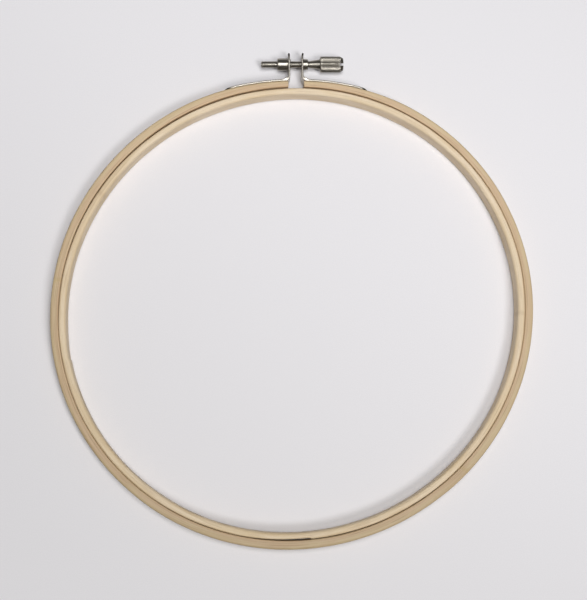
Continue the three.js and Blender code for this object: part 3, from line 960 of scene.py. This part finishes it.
PITCH = 0.5
CORE_RADIUS = 1.26
THREAD_RADIUS = THREAD_DIAMETER / 2
TIP_RADIUS = 1.05
TIP = NUT_END - 7.3
COLLAR_FROM = EAR_OUTSIDE + 0.05
COLLAR_TO = EAR_OUTSIDE + 2.2
NECK_THIN = 1.4
NECK_THICK = 2.25
HEAD_FROM = COLLAR_TO + 5.4
HEAD_TO = HEAD_FROM + 10.4
HEAD_RADIUS = 3.5
NECK_CHAMFER = 0.4
END_CHAMFER = 0.8
END_CHAMFER_LENGTH = 1.35
FACE_INSET = 0.35
THREAD_RUN_OUT = 0.7
SCREW_SHARP = math.radians(24)
KNURL_TEETH = 36
KNURL_DEPTH = 0.15
SLOT_WIDTH = 1.05
SLOT_DEPTH = 1.7
SLOT_TURN = math.radians(17.5)
SCREW_COLUMNS = 72
THREAD_FORM = np.array([0.0, 0.6, 0.98, 1.0, 1.0, 1.0, 0.98, 0.6])
TOOTH_FORM = np.array([1.0, 1.0, 0.67, 0.33, 0.0, 0.33, 0.67, 1.0])

# the thread is one long spiral of its profile, with a flat ring at each end
form_size = len(THREAD_FORM)
turn_count = int((COLLAR_FROM - TIP - 0.1) / PITCH) - 1
last = turn_count * SCREW_COLUMNS
spiral = [(q, k) for q in range(last + 1) for k in range(form_size)]
spiral += [(q, 0) for q in range(last + 1, last + SCREW_COLUMNS + 1)]
q, k = np.array(spiral).T
along = TIP + 0.04 + PITCH * (q / SCREW_COLUMNS + k / form_size)
run_out = np.clip((COLLAR_FROM - 0.25 - along) / THREAD_RUN_OUT, 0, 1)
radius = CORE_RADIUS + (THREAD_RADIUS - CORE_RADIUS) * THREAD_FORM[k] * run_out
radius = np.minimum(radius, TIP_RADIUS + along - TIP)
turn = 2 * math.pi * q / SCREW_COLUMNS
spiral_points = np.stack([along, radius * np.cos(turn), radius * np.sin(turn)], 1)
spiral_start = 1 + SCREW_COLUMNS
end_start = spiral_start + len(spiral)


def on_spiral(step, level):
    """The number of a point of the thread. A profile's last point is the next turn's first."""
    if level == form_size:
        step, level = step + SCREW_COLUMNS, 0
    if step <= last:
        return spiral_start + step * form_size + level
    return spiral_start + (last + 1) * form_size + step - last - 1


faces = [[0, 1 + (j + 1) % SCREW_COLUMNS, 1 + j] for j in range(SCREW_COLUMNS)]
for j in range(SCREW_COLUMNS):
    start = [1 + j, 1 + (j + 1) % SCREW_COLUMNS]
    if j == SCREW_COLUMNS - 1:
        start += [on_spiral(0, level) for level in range(form_size)]
    faces.append(start + [on_spiral(j + 1, 0), on_spiral(j, 0)])
for step in range(last):
    for level in range(form_size):
        faces.append([on_spiral(step, level), on_spiral(step + 1, level),
                      on_spiral(step + 1, level + 1), on_spiral(step, level + 1)])
for j in range(SCREW_COLUMNS):
    end = [on_spiral(last + j, 0), on_spiral(last + j + 1, 0),
           end_start + (j + 1) % SCREW_COLUMNS, end_start + j]
    if j == 0:
        end += [on_spiral(last, level) for level in range(form_size, 0, -1)]
    faces.append(end)


def knurled_ring(along, limit):
    """A ring of the head with its teeth, cut down where a chamfer's limit is less."""
    columns = KNURL_TEETH * len(TOOTH_FORM)
    points = ring(along, 1.0, columns)
    radius = HEAD_RADIUS - KNURL_DEPTH * (1 - np.tile(TOOTH_FORM, KNURL_TEETH))
    points[:, 1:] *= np.minimum(radius, limit)[:, None]
    return points


shaft_profile = softened([
    (COLLAR_FROM - 0.05, CORE_RADIUS, 0), (COLLAR_FROM, CORE_RADIUS, 0),
    (COLLAR_FROM, COLLAR_RADIUS, 0.18), (COLLAR_TO, COLLAR_RADIUS, 0.18),
    (COLLAR_TO, NECK_THIN, 0.1), ((COLLAR_TO + HEAD_FROM) / 2, (NECK_THIN + NECK_THICK) / 2, 0),
    (HEAD_FROM, NECK_THICK, 0.1), (HEAD_FROM, HEAD_RADIUS - NECK_CHAMFER - FACE_INSET, 0)])
head_rings = [ring(along, radius, SCREW_COLUMNS) for along, radius in shaft_profile]
for past in np.linspace(0, NECK_CHAMFER, 5):
    head_rings.append(knurled_ring(HEAD_FROM + past, HEAD_RADIUS - NECK_CHAMFER + past))
for along in np.linspace(HEAD_FROM + NECK_CHAMFER, HEAD_TO - END_CHAMFER_LENGTH, 9)[1:]:
    head_rings.append(knurled_ring(along, HEAD_RADIUS))
for share in np.linspace(1, 0, 9)[1:]:
    head_rings.append(knurled_ring(HEAD_TO - END_CHAMFER_LENGTH * share,
                                   HEAD_RADIUS - END_CHAMFER * (1 - share)))
head_rings += [ring(HEAD_TO, HEAD_RADIUS - END_CHAMFER - FACE_INSET, SCREW_COLUMNS),
               ring(HEAD_TO, 0, 1)]
head_points, head_faces = loft(head_rings)
faces += [[number + end_start for number in face] for face in head_faces]
screw_points = np.vstack([ring(TIP, 0, 1), ring(TIP, TIP_RADIUS, SCREW_COLUMNS),
                          spiral_points, head_points])
thumbscrew = add_piece("thumbscrew_knurled", mesh_from("screw", screw_points, faces))
slot_foot, slot_half = HEAD_TO - SLOT_DEPTH, SLOT_WIDTH / 2
slot_points = [(x, y, z) for z in (-HEAD_RADIUS - 1, HEAD_RADIUS + 1)
               for x, y in ((slot_foot, -slot_half), (HEAD_TO + 1, -slot_half),
                            (HEAD_TO + 1, slot_half), (slot_foot, slot_half))]
slot_faces = [[3, 2, 1, 0], [4, 5, 6, 7]]
slot_faces += [[i, (i + 1) % 4, (i + 1) % 4 + 4, i + 4] for i in range(4)]
slot_mesh = mesh_from("slot", slot_points, slot_faces)
slot_mesh.transform(Matrix.Rotation(SLOT_TURN, 4, "X"))
cut_away(thumbscrew, add_piece("cutter", slot_mesh))
# the end chamfer, past the teeth, is marked for painted shade
from_clamp = rows_of(thumbscrew.data.vertices, "co")[:, 0] / MM
past_teeth = from_clamp - HEAD_TO + END_CHAMFER_LENGTH
keep(thumbscrew.data, "painted_shade", np.clip(past_teeth / 0.3, 0, 1))
set_on(thumbscrew.data, CLAMP, (1, 0, 0))
thumbscrew.data.shade_smooth()
thumbscrew.data.set_sharp_from_angle(angle=SCREW_SHARP)
keep_relief(thumbscrew)
thumbscrew.data.materials.append(screw_steel)
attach(thumbscrew, "screw")
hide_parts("thumbscrew")


# Table
# A plain pale board, only there to lie the hoop on and take its shadow.

TABLE_REACH = 12000.0
TABLE_PALE = srgb(240, 238, 241)
TABLE_PAINTED_DIM = srgb(221, 219, 221)
TABLE_MOTTLE = srgb(250, 250, 250)
TABLE_PAINTED_FALLOFF = (-0.18, 0.14)
FAR_FROM_HOOP = (0.22, 0.8)
FAR_STRENGTH = 0.93


def ray_masks(tree):
    """Two masks: rays from the camera, and rays reflected or let through by a piece."""
    ray = node(tree, "LightPath").outputs
    reflected = reckon(tree, "MAXIMUM", ray["Is Glossy Ray"], ray["Is Transmission Ray"])
    return ray["Is Camera Ray"], reflected


table_mesh = bpy.data.meshes.new("table")
table_corners = ((-1, -1), (1, -1), (1, 1), (-1, 1))
table_mesh.from_pydata([(x * TABLE_REACH * MM, y * TABLE_REACH * MM, -0.02 * MM)
                        for x, y in table_corners], [], [[0, 1, 2, 3]])
table = add_piece("table", table_mesh)
table_paint, tree, shader = new_material("pale table")
speckle_place = node(tree, "TexCoord").outputs["Object"]
speckle = noise(tree, stretched(tree, speckle_place, 2600, 2600, 2600), 3.0, 0.7)
# painted light: the board is painted paler towards its far right and dimmer towards its near
# left, standing in for the light's fall-off
across, away, _ = split_up(tree, speckle_place)
slant = reckon(tree, "MULTIPLY_ADD", across, 0.5, away)
colour = blend_colours(tree, spread(tree, slant, *TABLE_PAINTED_FALLOFF), TABLE_PAINTED_DIM, TABLE_PALE)
mottling = spread(tree, speckle, 0.35, 0.65)
colour = blend_colours(tree, mottling, colour, TABLE_MOTTLE, "MULTIPLY")
tree.links.new(colour, shader.inputs["Base Color"])
shader.inputs["Roughness"].default_value = 0.7
# far from the hoop the board is seen as pale as it is near it, though the lamps don't reach it
distance = node(tree, "VectorMath", {0: speckle_place}, operation="LENGTH").outputs["Value"]
from_camera, reflected = ray_masks(tree)
seen = reckon(tree, "MAXIMUM", from_camera, reflected)
pale = node(tree, "Emission", {"Color": TABLE_PALE, "Strength": FAR_STRENGTH})
share = times(tree, seen, spread(tree, distance, *FAR_FROM_HOOP))
mixed = node(tree, "MixShader", {0: share, 1: shader.outputs[0], 2: pale.outputs[0]})
tree.links.new(mixed.outputs[0], tree.nodes["Material Output"].inputs["Surface"])
table.data.materials.append(table_paint)


# Light
# Two soft round lamps in a dim room. One hangs over the hoop's far right, and the other, to its
# near side, gives the rings their soft-edged shadow.

ROOM_LIGHT = 0.1
HORIZON_LIGHT = 0.7
OVERHEAD_PLACE = Vector((0.045, 0.012, 1.2))
OVERHEAD_SHARE = 0.59
OVERHEAD_WIDTH = 0.48
NEAR_PLACE = Vector((0.776, -0.953, 2.18))
NEAR_SHARE = 0.3
NEAR_WIDTH = 0.82

room = bpy.data.worlds.new("room")
room.use_nodes = True
bpy.context.scene.world = room
tree = room.node_tree
toward = node(tree, "TexCoord").outputs["Generated"]
up_way = split_up(tree, toward)[2]
# seen by the camera or in a reflection, the room's far side is paler near the horizon
from_camera, reflected = ray_masks(tree)
horizon = spread(tree, up_way, 0.5, 0.25, 0.0, HORIZON_LIGHT)
behind = times(tree, from_camera, horizon)
horizon = spread(tree, up_way, 0.09, 0.01, 0.0, HORIZON_LIGHT)
shown = times(tree, reflected, horizon)
strength = reckon(tree, "MAXIMUM", reckon(tree, "MAXIMUM", behind, shown), ROOM_LIGHT)
background = tree.nodes["Background"]
background.inputs["Color"].default_value = (1, 1, 1, 1)
tree.links.new(strength, background.inputs["Strength"])


def add_lamp(name, place, share, width):
    """A round lamp that faces the hoop and gives it a share of its light. A white board there
    is seen as white where all shares come to 1. The camera doesn't see the lamp."""
    data = bpy.data.lights.new(name, "AREA")
    data.shape = "DISK"
    data.size = width
    data.energy = share * math.pi ** 2 * place.length ** 3 / place.z
    lamp = bpy.data.objects.new(name, data)
    lamp.location = place
    lamp.rotation_euler = place.to_track_quat("Z", "Y").to_euler()
    lamp.visible_camera = False
    bpy.context.scene.collection.objects.link(lamp)


add_lamp("overhead", OVERHEAD_PLACE, OVERHEAD_SHARE, OVERHEAD_WIDTH)
add_lamp("near", NEAR_PLACE, NEAR_SHARE, NEAR_WIDTH)


# Camera
# Above the hoop and a little to its near side, where the photograph was taken from.

ON_TABLE = Vector((HOOP_CENTRE[0], HOOP_CENTRE[1], 0))
CAMERA_PLACE = (ON_TABLE + Vector((-25.548, -67.815, 550.0))) * MM
CAMERA_AIM = (ON_TABLE + Vector((0.349, 4.903, 0.0))) * MM
CAMERA_ROLL = math.radians(0.847)
LENS = 75.6
FILM = 36.0

camera_data = bpy.data.cameras.new("camera")
camera_data.lens = LENS
camera_data.sensor_width = FILM
camera_data.clip_start = 0.01
camera_data.clip_end = 60
camera = bpy.data.objects.new("camera", camera_data)
backwards = (CAMERA_PLACE - CAMERA_AIM).normalized()
up_hint = Vector((math.sin(CAMERA_ROLL), math.cos(CAMERA_ROLL), 0))
rightwards = up_hint.cross(backwards).normalized()
upwards = backwards.cross(rightwards)
pose = Matrix((rightwards, upwards, backwards)).transposed().to_4x4()
pose.translation = CAMERA_PLACE
camera.matrix_world = pose
bpy.context.scene.collection.objects.link(camera)
bpy.context.scene.camera = camera
bpy.context.scene.view_settings.view_transform = "Standard"
